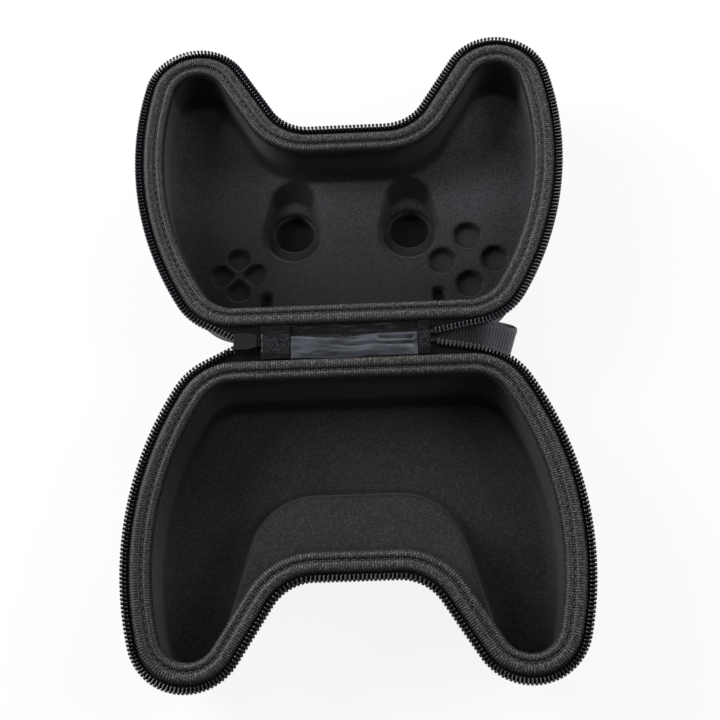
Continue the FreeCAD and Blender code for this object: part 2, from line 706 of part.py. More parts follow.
add_polygon(tape_slot, box_corners(MOUTH_X, TAIL_X, "-Sizes.slider_width", "Sizes.slider_width"))
add_wedge(tape_slot)
pocket(zip_slider, "tape_slot", tape_slot, f"{SLOT_TOP} - {CHANNEL_FOOT}")

# Crown under the lower plate, with the eye that the pull's pin turns in
PIN_X = "(Sizes.slider_long / 2 - Sizes.slider_left)"
PIN_Z = f"({PLATE_FOOT} - Sizes.pin_drop)"
EYE_RADIUS = "(Sizes.pin_radius + Sizes.channel_play)"
crown = new_sketch(zip_slider, "crown_side", "XZ_Plane", "0")
CROWN_FOOT = f"({PIN_Z} - {EYE_RADIUS} - Sizes.crown_wall)"
add_polygon(crown, [
    (f"{PIN_X} - Sizes.crown_long / 2", f"{PLATE_FOOT} + Sizes.slider_plate / 2"),
    (f"{PIN_X} - Sizes.crown_foot / 2", CROWN_FOOT),
    (f"{PIN_X} + Sizes.crown_foot / 2", CROWN_FOOT),
    (f"{PIN_X} + Sizes.crown_long / 2", f"{PLATE_FOOT} + Sizes.slider_plate / 2"),
])
add_circle(crown, PIN_X, PIN_Z, EYE_RADIUS)
pad(zip_slider, "crown", crown, "Sizes.crown_wide", centred=True)


# Pull: a stamped plate that hangs from the crown on a cross pin between its two arms

pull_tab = new_body("pull_tab")
PULL_HEAD = f"({PIN_Z} + Sizes.pin_radius + Sizes.channel_play)"
PULL_FOOT = f"({PIN_Z} - Sizes.pull_long)"
WINDOW_HALF = "(Sizes.crown_wide / 2 + Sizes.piece_gap)"
WINDOW_FOOT = f"({PIN_Z} - Sizes.window_long)"
pull_face = new_sketch(pull_tab, "pull_face", "YZ_Plane", f"{PIN_X} - Sizes.pull_thick / 2")
add_polygon(pull_face, [
    ("-Sizes.pull_wide / 2", PULL_HEAD), ("-Sizes.pull_wide / 2", PULL_FOOT),
    ("Sizes.pull_wide / 2", PULL_FOOT), ("Sizes.pull_wide / 2", PULL_HEAD),
    (WINDOW_HALF, PULL_HEAD), (WINDOW_HALF, WINDOW_FOOT),
    (f"-{WINDOW_HALF}", WINDOW_FOOT), (f"-{WINDOW_HALF}", PULL_HEAD),
])
pad(pull_tab, "pull_plate", pull_face, "Sizes.pull_thick")
round_edges(
    pull_tab, "pull_corners", "Sizes.pull_round",
    lambda edge: edge.BoundBox.ZMax < value(PULL_FOOT) + SAME_PLACE and edge.BoundBox.YLength < SAME_PLACE,
)
pin_section = new_sketch(pull_tab, "pin_section", "XZ_Plane", "0")
add_circle(pin_section, PIN_X, PIN_Z, "Sizes.pin_radius")
pad(pull_tab, "pin", pin_section, "Sizes.pull_wide - Sizes.pull_thick", centred=True)


# Last joined teeth, from the wedge through the slider to the crimped bottom stop

joined_teeth = make_block(
    "joined_teeth", f"{FLARE_X} + Sizes.piece_gap", SLIDER_RIGHT, "-Sizes.chain_width", "Sizes.chain_width",
    CHAIN_FOOT, "Sizes.chain_depth",
)
STOP_LEFT = f"({SLIDER_RIGHT} + Sizes.seat_play)"
bottom_stop = make_block(
    "bottom_stop", STOP_LEFT, f"{STOP_LEFT} + Sizes.stop_thick", "-(Sizes.chain_width + Sizes.piece_gap)",
    "Sizes.chain_width + Sizes.piece_gap", CHAIN_FOOT, "Sizes.chain_depth",
)


# Webbing loop, sewn under the right end of the spine, folded round at its free end

carry_strap = new_body("carry_strap")
STRAP_TOP = f"({TAPE_FOOT} - Sizes.piece_gap)"
LOOP_TOP = f"({STRAP_TOP} - Sizes.strap_sag)"
STRAP_FOOT = f"({LOOP_TOP} - Sizes.strap_hole - 2 * Sizes.strap_cloth)"
SEWN_FOOT = f"({STRAP_TOP} - 2 * Sizes.strap_cloth)"
SEWN_END = "(Sizes.strap_start + Sizes.strap_sewn)"
SAG_END = f"({SEWN_END} + 2 * Sizes.strap_sag)"
HOLE_START = f"({SEWN_END} + Sizes.strap_hole)"
HOLE_END = "(Sizes.strap_end - Sizes.strap_cloth)"
strap_side = new_sketch(carry_strap, "strap_side", "XZ_Plane", "0")
add_polygon(strap_side, [
    ("Sizes.strap_start", STRAP_TOP), ("Sizes.strap_start", SEWN_FOOT), (SEWN_END, SEWN_FOOT),
    (HOLE_START, STRAP_FOOT), ("Sizes.strap_end", STRAP_FOOT), ("Sizes.strap_end", LOOP_TOP),
    (SAG_END, LOOP_TOP), (SEWN_END, STRAP_TOP),
])
add_polygon(strap_side, [
    (SAG_END, f"{LOOP_TOP} - Sizes.strap_cloth"),
    (f"{HOLE_START} + Sizes.strap_cloth / 2", f"{STRAP_FOOT} + Sizes.strap_cloth"),
    (HOLE_END, f"{STRAP_FOOT} + Sizes.strap_cloth"), (HOLE_END, f"{LOOP_TOP} - Sizes.strap_cloth"),
])
pad(carry_strap, "strap_loop", strap_side, "Sizes.strap_width", centred=True)
round_edges(
    carry_strap, "strap_outer_fold", "Sizes.strap_hole / 2 + Sizes.strap_cloth / 2",
    lambda edge: edge.BoundBox.XMin > size("strap_end") - SAME_PLACE and edge.BoundBox.ZLength < SAME_PLACE,
)
round_edges(
    carry_strap, "strap_inner_fold", "Sizes.strap_hole / 2 - Sizes.strap_cloth / 4",
    lambda edge: abs(edge.BoundBox.XMin - value(HOLE_END)) < SAME_PLACE
    and edge.BoundBox.XLength < SAME_PLACE and edge.BoundBox.ZLength < SAME_PLACE,
)


# Check every object, then write each piece

PIECES = (
    base_shell, base_lining, base_binding, base_zip_tape, base_zip_teeth, base_end_stop,
    lid_shell, lid_lining, lid_binding, lid_zip_tape, lid_zip_teeth, lid_end_stop,
    spine, satin, left_patch, right_patch, zip_slider, pull_tab, joined_teeth, bottom_stop, carry_strap,
)
document.recompute()
for item in document.Objects:
    if "Invalid" in item.State or "Error" in item.State:
        raise RuntimeError(f"{item.Name} failed: {item.State}")
for piece in PIECES:
    if piece.Shape.isNull() or not piece.Shape.isValid():
        raise RuntimeError(f"{piece.Label} has no valid shape")
os.makedirs("parts", exist_ok=True)
for piece in PIECES:
    piece.Shape.exportStep(f"parts/{piece.Label}.step")
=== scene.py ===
import json
import math

import bpy
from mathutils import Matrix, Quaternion, Vector

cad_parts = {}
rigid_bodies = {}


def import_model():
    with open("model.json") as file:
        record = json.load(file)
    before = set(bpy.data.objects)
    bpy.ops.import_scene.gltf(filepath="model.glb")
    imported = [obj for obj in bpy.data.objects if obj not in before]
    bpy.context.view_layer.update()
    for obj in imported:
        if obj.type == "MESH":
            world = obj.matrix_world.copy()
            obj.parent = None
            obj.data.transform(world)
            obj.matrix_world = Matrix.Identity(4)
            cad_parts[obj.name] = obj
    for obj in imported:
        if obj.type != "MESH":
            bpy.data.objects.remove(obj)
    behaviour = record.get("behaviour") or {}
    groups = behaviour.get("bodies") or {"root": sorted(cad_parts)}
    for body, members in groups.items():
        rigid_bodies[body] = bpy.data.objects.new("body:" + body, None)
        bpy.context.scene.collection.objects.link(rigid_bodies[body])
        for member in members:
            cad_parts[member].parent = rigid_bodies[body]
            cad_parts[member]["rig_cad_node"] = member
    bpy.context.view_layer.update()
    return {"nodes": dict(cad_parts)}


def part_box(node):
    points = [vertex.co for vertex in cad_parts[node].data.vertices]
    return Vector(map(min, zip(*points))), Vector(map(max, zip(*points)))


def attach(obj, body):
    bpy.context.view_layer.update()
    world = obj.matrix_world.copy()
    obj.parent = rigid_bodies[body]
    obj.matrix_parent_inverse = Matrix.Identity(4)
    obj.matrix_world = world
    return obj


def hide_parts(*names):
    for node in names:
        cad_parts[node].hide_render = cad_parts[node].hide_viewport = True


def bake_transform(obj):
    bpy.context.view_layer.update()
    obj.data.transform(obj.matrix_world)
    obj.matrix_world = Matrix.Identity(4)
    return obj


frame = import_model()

mm = 0.001
bpy.ops.object.select_all(action="DESELECT")

# View: the camera stands in front of the base half and looks steeply down on the open case.
# The photograph was cropped a little off its lens axis, which the small shifts repeat.
camera_place = Vector((21.6, -201.4, 549.1)) * mm
looked_at = Vector((-0.2, -8.3, 38.0)) * mm
camera_roll = math.radians(-8.15)
bpy.ops.object.camera_add(location=camera_place)
camera = bpy.context.object
camera.rotation_mode = "QUATERNION"
level_view = (looked_at - camera_place).to_track_quat("-Z", "Y")
camera.rotation_quaternion = level_view @ Quaternion((0, 0, 1), camera_roll)
camera.data.lens = 70.3
camera.data.shift_x = 0.0121
camera.data.shift_y = -0.0025
camera.data.clip_start = 0.01
bpy.context.scene.camera = camera
bpy.context.scene.view_settings.view_transform = "Standard"


# Shells: EVA foam pressed to shape with a coarse woven nylon laminated on its outside.
# Each is one moulding, open at the rim, and its foot is rounded all the way round.
class Wire:
    """An output socket of a material's node; arithmetic on it adds Math nodes, and node() any other."""

    def __init__(self, tree, socket=None):
        self.tree = tree
        self.socket = socket

    def node(self, kind, settings=None, sockets=None, output=0):
        made = self.tree.nodes.new(f"ShaderNode{kind}")
        settings = dict(settings or {})
        stops = settings.pop("stops", None)
        for key, value in settings.items():
            setattr(made, key, value)
        if stops:
            ramp = made.color_ramp
            while len(ramp.elements) < len(stops):
                ramp.elements.new(0.5)
            for element, (place, shade) in zip(ramp.elements, stops):
                element.position = place
                element.color = (*shade, 1) if isinstance(shade, tuple) else (shade, shade, shade, 1)
        for key, value in (sockets or {}).items():
            if isinstance(value, Wire):
                self.tree.links.new(value.socket, made.inputs[key])
            else:
                made.inputs[key].default_value = value
        return Wire(self.tree, made.outputs[output] if made.outputs else None)

    def math(self, operation, *values):
        return self.node("Math", {"operation": operation}, dict(enumerate(values)))

    def __add__(self, other):
        return self.math("ADD", self, other)

    def __sub__(self, other):
        return self.math("SUBTRACT", self, other)

    def __rsub__(self, other):
        return self.math("SUBTRACT", other, self)

    def __mul__(self, other):
        return self.math("MULTIPLY", self, other)

    __radd__ = __add__
    __rmul__ = __mul__

    def swing(self):
        """A sine wave of the value, from 0 to 1."""
        return self.math("SINE", self) * 0.5 + 0.5

    def axis(self, index):
        """One coordinate of a vector."""
        return self.node("SeparateXYZ", None, {0: self}, index)

    def between(self, low, high, first, last, soft=False):
        """The value from low to high, turned into first to last and held beyond them."""
        settings = {"interpolation_type": "SMOOTHSTEP"} if soft else None
        return self.node("MapRange", settings, {0: self, 1: low, 2: high, 3: first, 4: last})

    def ramp(self, *stops):
        return self.node("ValToRGB", {"stops": stops}, {0: self})

    def noise(self, where, scale, detail=2.0):
        return self.node("TexNoise", None, {"Vector": where, "Scale": scale, "Detail": detail})

    def tint(self, share, first, second):
        """Colour between two colours."""
        return self.node("Mix", {"data_type": "RGBA"}, {0: share, 6: (*first, 1), 7: (*second, 1)}, 2)


def new_finish(name):
    """An empty material, a wire to start its nodes from, its object coordinates and its surface direction."""
    material = bpy.data.materials.new(name)
    material.use_nodes = True
    material.node_tree.nodes.clear()
    wire = Wire(material.node_tree)
    return material, wire, wire.node("TexCoord", output="Object"), wire.node("TexCoord", output="Normal")


def close_finish(wire, colour, rough, relief=None, depth=0.0, **fixed):
    """The surface shader; the relief is depth metres high where it is 1."""
    sockets = {"Base Color": colour, "Roughness": rough}
    if relief:
        sockets["Normal"] = wire.node("Bump", None, {"Strength": 1.0, "Distance": depth, "Height": relief})
    sockets.update({key.replace("_", " "): value for key, value in fixed.items()})
    wire.node("OutputMaterial", None, {"Surface": wire.node("BsdfPrincipled", None, sockets)})


def wear(piece, material):
    """Gives a piece its one material."""
    piece.data.materials.clear()
    piece.data.materials.append(material)


shell_finish, wire, place, facing = new_finish("woven_nylon")
weave_pitch = 0.9 * mm
turns = 2 * math.pi / weave_pitch
facing_x = wire.math("ABSOLUTE", facing.axis(0))
facing_y = wire.math("ABSOLUTE", facing.axis(1))
waves = [(place.axis(index) * turns).swing() for index in range(3)]
steep = wire.math("MAXIMUM", facing_x, facing_y)
flat_share = wire.math("LESS_THAN", steep, 0.7)
sideways = wire.math("GREATER_THAN", facing_x, facing_y)
flat_weave = waves[0] * waves[1] + (1 - waves[0]) * (1 - waves[1])
end_weave = waves[1] * waves[2] + (1 - waves[1]) * (1 - waves[2])
front_weave = waves[0] * waves[2] + (1 - waves[0]) * (1 - waves[2])
wall_weave = sideways * end_weave + (1 - sideways) * front_weave
weave = flat_share * flat_weave + (1 - flat_share) * wall_weave
drift = wire.noise(place, 40.0, 3.0)
close_finish(
    wire, wire.tint(weave * 0.6 + drift * 0.4, (0.008, 0.008, 0.009), (0.030, 0.030, 0.033)),
    0.62 - weave * 0.12, weave + wire.noise(place, 2500.0) * 0.4, 0.12 * mm, Sheen_Weight=0.15,
)
for half in ("base", "lid"):
    wear(frame["nodes"][f"{half}_shell"], shell_finish)


# Linings: a second foam moulding with a short velvet pile, glued inside each shell.
# The pile and the foam under it soften every edge of the wells, dimples and floor.
def soft_copy(node, grain, passes, body):
    """A rounded copy of a moulded node: meshed evenly at the grain, then relaxed. It takes the node's place."""
    bpy.ops.object.select_all(action="DESELECT")
    source = frame["nodes"][node]
    source.select_set(True)
    bpy.context.view_layer.objects.active = source
    bpy.ops.object.duplicate()
    piece = bpy.context.object
    piece.name = f"{node}_soft"
    del piece["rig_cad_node"]
    bpy.ops.object.mode_set(mode="EDIT")
    bpy.ops.mesh.select_all(action="SELECT")
    bpy.ops.mesh.remove_doubles(threshold=0.002 * mm)
    bpy.ops.object.mode_set(mode="OBJECT")
    even = piece.modifiers.new("even", "REMESH")
    even.mode = "VOXEL"
    even.voxel_size = grain
    even.use_smooth_shade = True
    bpy.ops.object.modifier_apply(modifier=even.name)
    relax = piece.modifiers.new("relax", "SMOOTH")
    relax.factor = 0.5
    relax.iterations = passes
    bpy.ops.object.modifier_apply(modifier=relax.name)
    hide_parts(node)
    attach(piece, body)
    return piece


velvet_dark = (0.0075, 0.0080, 0.0088)
velvet_light = (0.040, 0.042, 0.046)
lid_floor = 15.5 * mm
hole_floor = 4.3 * mm
pile_length = 0.16 * mm
lining_reach = 140 * mm

velvet, wire, place, facing = new_finish("velvet")
pile = wire.noise(place, 2400.0, 2.0)
speckle = wire.math("POWER", wire.noise(place, 1500.0, 1.0), 2.5)
brushed = wire.noise(place, 45.0, 3.0)
nap = wire.tint(brushed * 0.35 + speckle * 2.1, velvet_dark, velvet_light)
# painted shade on slopes: the colour darkens where the surface faces the front or the back, most where it faces the
# front
painted_slope_shade = (facing.axis(1) * 0.5 + 0.5).ramp(
    (0.0, 0.17), (0.30, 0.20), (0.46, 0.92), (0.5, 1.0), (0.58, 0.58), (1.0, 0.30),
)
shade = wire.node("VectorMath", {"operation": "MULTIPLY"}, {0: nap, 1: painted_slope_shade})
# little light falls into the lid's holes
across, along, height = [place.axis(index) for index in range(3)]
in_lid = wire.math("GREATER_THAN", along, 0.0)
hollow = 1 - in_lid * height.between(hole_floor, lid_floor, 0.8, 0.0)
# painted light and shade on the lid's pile: darker towards the hinge, a painted shade around the left dimples, and
# lighter towards the right
painted_hinge_falloff = (along * (1 / lining_reach)).ramp(
    (0.05, 0.09), (0.21, 0.14), (0.27, 0.18), (0.39, 0.28), (0.51, 0.45), (0.66, 0.40), (0.84, 0.90),
) * 3.0
painted_dimple_shade = wire.math("ABSOLUTE", across + 48 * mm).between(6 * mm, 30 * mm, 0.60, 1.0, soft=True)
painted_right_light = across.between(30 * mm, 60 * mm, 1.0, 1.25, soft=True)
base_pile = 0.82
painted_pile_light = hollow * (base_pile + in_lid * (painted_hinge_falloff * painted_dimple_shade * painted_right_light - base_pile))
shade = wire.node("VectorMath", {"operation": "SCALE"}, {0: shade, "Scale": painted_pile_light})
close_finish(
    wire, shade, 0.9, pile, pile_length, Sheen_Weight=0.12, Sheen_Roughness=0.5, Specular_IOR_Level=0.15,
)


def widen(piece, spot, reach, low, high, share, spread):
    """Scales the part of a moulding near a spot, between two heights, and lets the scaling fade out around it."""
    bpy.ops.object.mode_set(mode="EDIT")
    bpy.ops.mesh.select_mode(type="VERT")
    bpy.ops.mesh.select_all(action="DESELECT")
    bpy.ops.object.mode_set(mode="OBJECT")
    for vertex in piece.data.vertices:
        vertex.select = low < vertex.co.z < high and (vertex.co.xy - spot).length < reach
    bpy.ops.object.mode_set(mode="EDIT")
    bpy.ops.transform.resize(
        value=share, center_override=(*spot, high), use_proportional_edit=True, proportional_edit_falloff="SMOOTH",
        proportional_size=spread,
    )
    bpy.ops.object.mode_set(mode="OBJECT")


lining_grain = 0.82 * mm
well_spots = [Vector((side * 24.3, 59.8)) * mm for side in (-1, 1)]
slot_spots = [Vector((side * 35.6, 26.2)) * mm for side in (-1, 1)]
button_middle = Vector((48.4, 42.0)) * mm
button_ring = 11.0 * mm
petal_middle = Vector((-47.2, 38.6)) * mm
petal_ring = 7.2 * mm
# the lowest and highest vertex that is widened in a hole, a round dimple and a slot
hole_band = (3.8 * mm, 5.6 * mm)
dimple_band = (12.0 * mm, 14.6 * mm)
slot_band = (11.0 * mm, 14.0 * mm)
for half in ("base", "lid"):
    lining = soft_copy(f"{half}_lining", lining_grain, 4, half)
    if half == "lid":
        # the sticks' holes have steep walls, and every dimple is pressed wide
        for spot in well_spots:
            widen(lining, spot, 6.6 * mm, *hole_band, (1.26, 1.26, 1), 5.0 * mm)
        for turn in (Vector((1, 0)), Vector((0, 1)), Vector((-1, 0)), Vector((0, -1))):
            widen(lining, button_middle + turn * button_ring, 4.6 * mm, *dimple_band, (1.17, 1.17, 1), 2.6 * mm)
            across = (1.08, 1.42, 1) if turn.x else (1.42, 1.08, 1)
            widen(lining, petal_middle + turn * petal_ring, 4.6 * mm, *dimple_band, across, 2.2 * mm)
        for spot in slot_spots:
            widen(lining, spot, 4.0 * mm, *slot_band, (1.3, 1.0, 1), 2.0 * mm)
    wear(lining, velvet)


# Bound edges: a ribbed ribbon folded over shell and lining and sewn through once.
# It puffs up on both sides of the seam, and its inner leg runs down the lining's wall.
half_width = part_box("base_zip_teeth")[1].x
lobe_reach = -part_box("base_zip_teeth")[0].y
rim_height = 38.0 * mm
hinge_gap = 4.0 * mm
widest_at = 86.0 * mm
side_radius = 134.0 * mm
corner_radius = 27.0 * mm
lobe_radius = 22.5 * mm
notch_reach = 95.6 * mm
notch_radius = 18.0 * mm
notch_from_lobe = 47.1 * mm
path_step = 1.0 * mm


def rim_side(inset, zip_end=None):
    """Points along the right side of a half's plan, from the notch to the back corner or the zip's end."""
    side = Vector((half_width - side_radius, -widest_at))
    corner = Vector((0, -(hinge_gap + corner_radius)))
    corner.x = side.x + math.sqrt((side_radius - corner_radius)**2 - (corner.y - side.y)**2)
    lobe = Vector((0, lobe_radius - lobe_reach))
    lobe.x = side.x + math.sqrt((side_radius - lobe_radius)**2 - (lobe.y - side.y)**2)
    notch = Vector((lobe.x - notch_from_lobe, -(notch_reach + notch_radius)))
    across = notch - lobe
    turn = math.atan2(across.y, across.x) + math.acos((lobe_radius + notch_radius) / across.length)
    low = math.atan2(lobe.y - side.y, lobe.x - side.x)
    high = math.atan2(corner.y - side.y, corner.x - side.x)
    last = math.pi / 2
    if zip_end:
        run = Vector((zip_end, -(1.0 * mm + inset))) - corner
        last = math.atan2(run.y, run.x) - math.acos((corner_radius - inset) / run.length)
    points = []
    for centre, radius, start, end in (
        (notch, notch_radius + inset, math.pi / 2, turn + math.pi), (lobe, lobe_radius - inset, turn, low),
        (side, side_radius - inset, low, high), (corner, corner_radius - inset, high, last),
    ):
        steps = math.ceil(radius * abs(end - start) / path_step)
        for step in range(steps + 1):
            angle = start + (end - start) * step / steps
            point = centre + radius * Vector((math.cos(angle), math.sin(angle)))
            if not points or (point - points[-1]).length > 0.1 * path_step:
                points.append(point)
    if zip_end:
        points.append(corner + run)
    return points


def whole_rim(half, inset):
    """The plan of a half's rim, closed; the lid's is the base's turned half round."""
    right = rim_side(inset)
    left = [Vector((-point.x, point.y)) for point in reversed(right)]
    sign = 1 if half == "base" else -1
    return [sign * point for point in right + left]


def draw_path(points, closed, height):
    """A curve through the points, and its length."""
    curve = bpy.data.curves.new("path", "CURVE")
    curve.dimensions = "3D"
    curve.twist_mode = "Z_UP"
    spline = curve.splines.new("POLY")
    spline.points.add(len(points) - 1)
    for knot, point in zip(spline.points, points):
        knot.co = (point.x, point.y, height, 1)
    spline.use_cyclic_u = closed
    path = bpy.data.objects.new("path", curve)
    bpy.context.collection.objects.link(path)
    after = points[1:] + points[:1] if closed else points[1:]
    return path, sum((b - a).length for a, b in zip(points, after))


def run_along(piece, path, count, pitch):
    """Repeats a piece count times along its X axis and bends the row along the path."""
    bpy.ops.object.select_all(action="DESELECT")
    piece.select_set(True)
    bpy.context.view_layer.objects.active = piece
    row = piece.modifiers.new("row", "ARRAY")
    row.count = count
    row.use_relative_offset = False
    row.use_constant_offset = True
    row.constant_offset_displace = (pitch, 0, 0)
    row.use_merge_vertices = True
    row.merge_threshold = 0.005 * mm
    bend = piece.modifiers.new("bend", "CURVE")
    bend.object = path
    bpy.ops.object.modifier_apply(modifier=row.name)
    bpy.ops.object.modifier_apply(modifier=bend.name)
    bpy.ops.object.mode_set(mode="EDIT")
    bpy.ops.mesh.select_all(action="SELECT")
    bpy.ops.mesh.remove_doubles(threshold=0.02 * mm)
    bpy.ops.mesh.normals_make_consistent(inside=False)
    bpy.ops.object.mode_set(mode="OBJECT")
    bpy.ops.object.shade_smooth()
    bpy.data.objects.remove(path)


def draw_ring(knots, upright, smoothness=3):
    """A closed smooth ring through given knots in millimetres: upright in the YZ plane, or flat in XY."""
    curve = bpy.data.curves.new("ring", "CURVE")
    curve.dimensions = "3D"
    spline = curve.splines.new("BEZIER")
    spline.bezier_points.add(len(knots) - 1)
    for knot, (a, b) in zip(spline.bezier_points, knots):
        knot.co = (0, a * mm, b * mm) if upright else (a * mm, b * mm, 0)
        knot.handle_left_type = knot.handle_right_type = "AUTO"
    spline.use_cyclic_u = True
    spline.resolution_u = smoothness
    ring = bpy.data.objects.new("ring", curve)
    bpy.context.collection.objects.link(ring)
    bpy.ops.object.select_all(action="DESELECT")
    ring.select_set(True)
    bpy.context.view_layer.objects.active = ring
    bpy.ops.object.convert(target="MESH")
    return bpy.context.object


def rib_ring(ring, pitch):
    """Extrudes an upright ring into one rib, and marks its rounded top with 1 and its furrows with 0."""
    bpy.ops.object.mode_set(mode="EDIT")
    bpy.ops.mesh.select_mode(type="EDGE")
    bpy.ops.mesh.select_all(action="SELECT")
    for share in (0.3, 0.4, 0.3):
        bpy.ops.mesh.extrude_region_move(TRANSFORM_OT_translate={"value": (share * pitch, 0, 0)})
    bpy.ops.object.mode_set(mode="OBJECT")
    mark = ring.data.attributes.new("rib", "FLOAT", "POINT")
    for vertex, value in zip(ring.data.vertices, mark.data):
        value.value = 1.0 if 0.1 * pitch < vertex.co.x < 0.9 * pitch else 0.0


def sink_furrows(piece, depth, reach=None):
    """Presses the furrows between the ribs inwards, where reach(place) allows."""
    marks = [value.value < 0.5 for value in piece.data.attributes["rib"].data]
    if reach:
        marks = [mark and reach(vertex.co) for mark, vertex in zip(marks, piece.data.vertices)]
    bpy.ops.object.mode_set(mode="EDIT")
    bpy.ops.mesh.select_mode(type="VERT")
    bpy.ops.mesh.select_all(action="DESELECT")
    bpy.ops.object.mode_set(mode="OBJECT")
    piece.data.vertices.foreach_set("select", marks)
    bpy.ops.object.mode_set(mode="EDIT")
    bpy.ops.transform.shrink_fatten(value=-depth)
    bpy.ops.object.mode_set(mode="OBJECT")


# (inward from the teeth's line, up from the rim's plane)
ribbon_section = [
    (3.75, -3.7), (3.3, -2.2), (4.0, -0.8), (5.8, -0.3), (7.4, -0.75), (8.1, -1.5), (8.7, -1.0), (9.9, -0.75),
    (11.1, -1.4), (11.7, -2.8), (11.6, -4.6), (11.0, -4.9), (10.4, -4.2), (7.5, -3.9),
]
seam_inset = 8.1 * mm
seam_drop = 1.3 * mm
rib_pitch = 0.98 * mm
rib_depth = 0.26 * mm
stitch_pitch = 2.9 * mm

ribbon, wire, place, facing = new_finish("ribbed_ribbon")
rib = wire.node("Attribute", {"attribute_name": "rib"}, output=2)
thread = wire.noise(place, 1500.0, 2.0)
hue = wire.noise(place, 35.0).ramp(
    (0.35, (0.122, 0.104, 0.108)), (0.46, (0.124, 0.119, 0.109)), (0.56, (0.104, 0.124, 0.116)),
    (0.66, (0.115, 0.112, 0.126)),
)
lit = wire.math("MULTIPLY_ADD", thread, 5.0, -2.25)
# painted highlights on the threads, and painted shade in the furrows, on the flanks, on slopes facing the front and
# towards the left end
flank = facing.axis(2).between(0.05, 0.85, 0.30, 1.0)
shaded = facing.axis(1).between(-0.6, 0.1, 0.25, 1.0)
painted_left_edge_shade = place.axis(0).between(-86 * mm, -58 * mm, 0.55, 1.05, soft=True)
share = wire.math("POWER", rib, 2.0) * lit * flank * shaded * painted_left_edge_shade
colour = wire.node(
    "Mix", {"data_type": "RGBA", "clamp_factor": True}, {0: share, 6: (0.005, 0.005, 0.006, 1), 7: hue}, 2,
)
close_finish(
    wire, colour, 0.5, thread, 0.1 * mm, Sheen_Weight=0.08, Sheen_Roughness=0.4, Specular_IOR_Level=0.35,
)

thread_finish, wire, place, facing = new_finish("sewing_thread")
twist = wire.noise(place, 5000.0)
close_finish(wire, wire.tint(twist, (0.015, 0.015, 0.016), (0.07, 0.07, 0.072)), 0.55, twist, 0.05 * mm)


def make_stitch(length, radius, name):
    """One stitch: a thread bulging out of its two needle holes, lying along X."""
    bpy.ops.mesh.primitive_uv_sphere_add(segments=8, ring_count=6, radius=1.0)
    stitch = bpy.context.object
    stitch.name = name
    bpy.ops.object.mode_set(mode="EDIT")
    bpy.ops.mesh.select_all(action="SELECT")
    bpy.ops.transform.rotate(value=math.pi / 2, orient_axis="Y", center_override=(0, 0, 0))
    bpy.ops.transform.resize(value=(length / 2, radius, radius))
    bpy.ops.transform.translate(value=(length / 2, 0, 0))
    bpy.ops.object.mode_set(mode="OBJECT")
    return stitch


# the path runs under the ribbon's middle, so that the ribs stay evenly spaced there
middle_inset = 7.0 * mm
stitch_length = 2.1 * mm
stitch_radius = 0.24 * mm
for half in ("base", "lid"):
    path, length = draw_path(whole_rim(half, middle_inset), True, rim_height)
    count = round(length / rib_pitch)
    edge = draw_ring([(inward - middle_inset / mm, up) for inward, up in ribbon_section], True)
    edge.name = f"{half}_ribbon"
    rib_ring(edge, length / count)
    run_along(edge, path, count, length / count)
    sink_furrows(edge, rib_depth)
    wear(edge, ribbon)
    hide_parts(f"{half}_binding")
    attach(edge, half)

    path, length = draw_path(whole_rim(half, seam_inset), True, rim_height - seam_drop)
    count = round(length / stitch_pitch)
    seam = make_stitch(stitch_length, stitch_radius, f"{half}_ribbon_seam")
    run_along(seam, path, count, length / count)
    wear(seam, thread_finish)
    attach(seam, half)


# Zip tapes: a narrow woven tape sewn under each bound edge, with the teeth along its outer edge.
# They run from the slider's left end of the hinge round both lobes to the hinge's right end.
zip_left = 46.8 * mm
zip_right = 33.0 * mm
tape_top = 35.96 * mm
tape_thick = 0.8 * mm
tape_outer = 0.75 * mm
tape_inner = 6.6 * mm
tape_step = 1.5 * mm

tape_finish, wire, place, facing = new_finish("woven_tape")
grid = wire.noise(place, 1700.0, 1.0)
close_finish(
    wire, wire.tint(grid, (0.0006, 0.0006, 0.001), (0.008, 0.008, 0.010)), 0.85, grid, 0.25 * mm,
    Specular_IOR_Level=0.08,
)


def zip_path(half, inset, height, spare=0.0):
    """The way of one zip row, with its inside on the left; the lid's row mirrors the base's."""
    left = [Vector((-point.x, point.y)) for point in reversed(rim_side(inset, zip_left))]
    points = left[:-1] + rim_side(inset, zip_right - spare)
    if half == "lid":
        points = [Vector((point.x, -point.y)) for point in reversed(points)]
    return draw_path(points, False, height)


for half in ("base", "lid"):
    middle = (tape_outer + tape_inner) / 2
    path, length = zip_path(half, middle, tape_top, tape_step)
    count = round(length / tape_step)
    bpy.ops.mesh.primitive_cube_add(size=1.0)
    tape = bpy.context.object
    tape.name = f"{half}_tape"
    bpy.ops.object.mode_set(mode="EDIT")
    bpy.ops.mesh.select_all(action="SELECT")
    bpy.ops.transform.translate(value=(0.5, 0, -0.5))
    bpy.ops.transform.resize(value=(length / count, tape_inner - tape_outer, tape_thick), center_override=(0, 0, 0))
    bpy.ops.mesh.select_all(action="DESELECT")
    bpy.ops.object.mode_set(mode="OBJECT")
    for face in tape.data.polygons:
        face.select = abs(face.normal.x) > 0.5
    bpy.ops.object.mode_set(mode="EDIT")
    bpy.ops.mesh.select_mode(type="FACE")
    bpy.ops.mesh.delete(type="ONLY_FACE")
    bpy.ops.object.mode_set(mode="OBJECT")
    run_along(tape, path, count, length / count)
    bpy.ops.object.mode_set(mode="EDIT")
    bpy.ops.mesh.select_mode(type="EDGE")
    bpy.ops.mesh.select_all(action="DESELECT")
    bpy.ops.mesh.select_non_manifold()
    bpy.ops.mesh.edge_face_add()
    bpy.ops.object.mode_set(mode="OBJECT")
    bpy.ops.object.shade_smooth_by_angle(angle=math.radians(40))
    wear(tape, tape_finish)
    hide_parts(f"{half}_zip_tape")
    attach(tape, half)


# Zip teeth: loops of a moulded coil, sewn on the tape's edge. Each shows as a leg with a rounded head.
# The two rows are half a pitch apart, so that they would mesh in the slider.
tooth_pitch = 1.58 * mm
tooth_foot = 36.02 * mm
tooth_height = 1.55 * mm
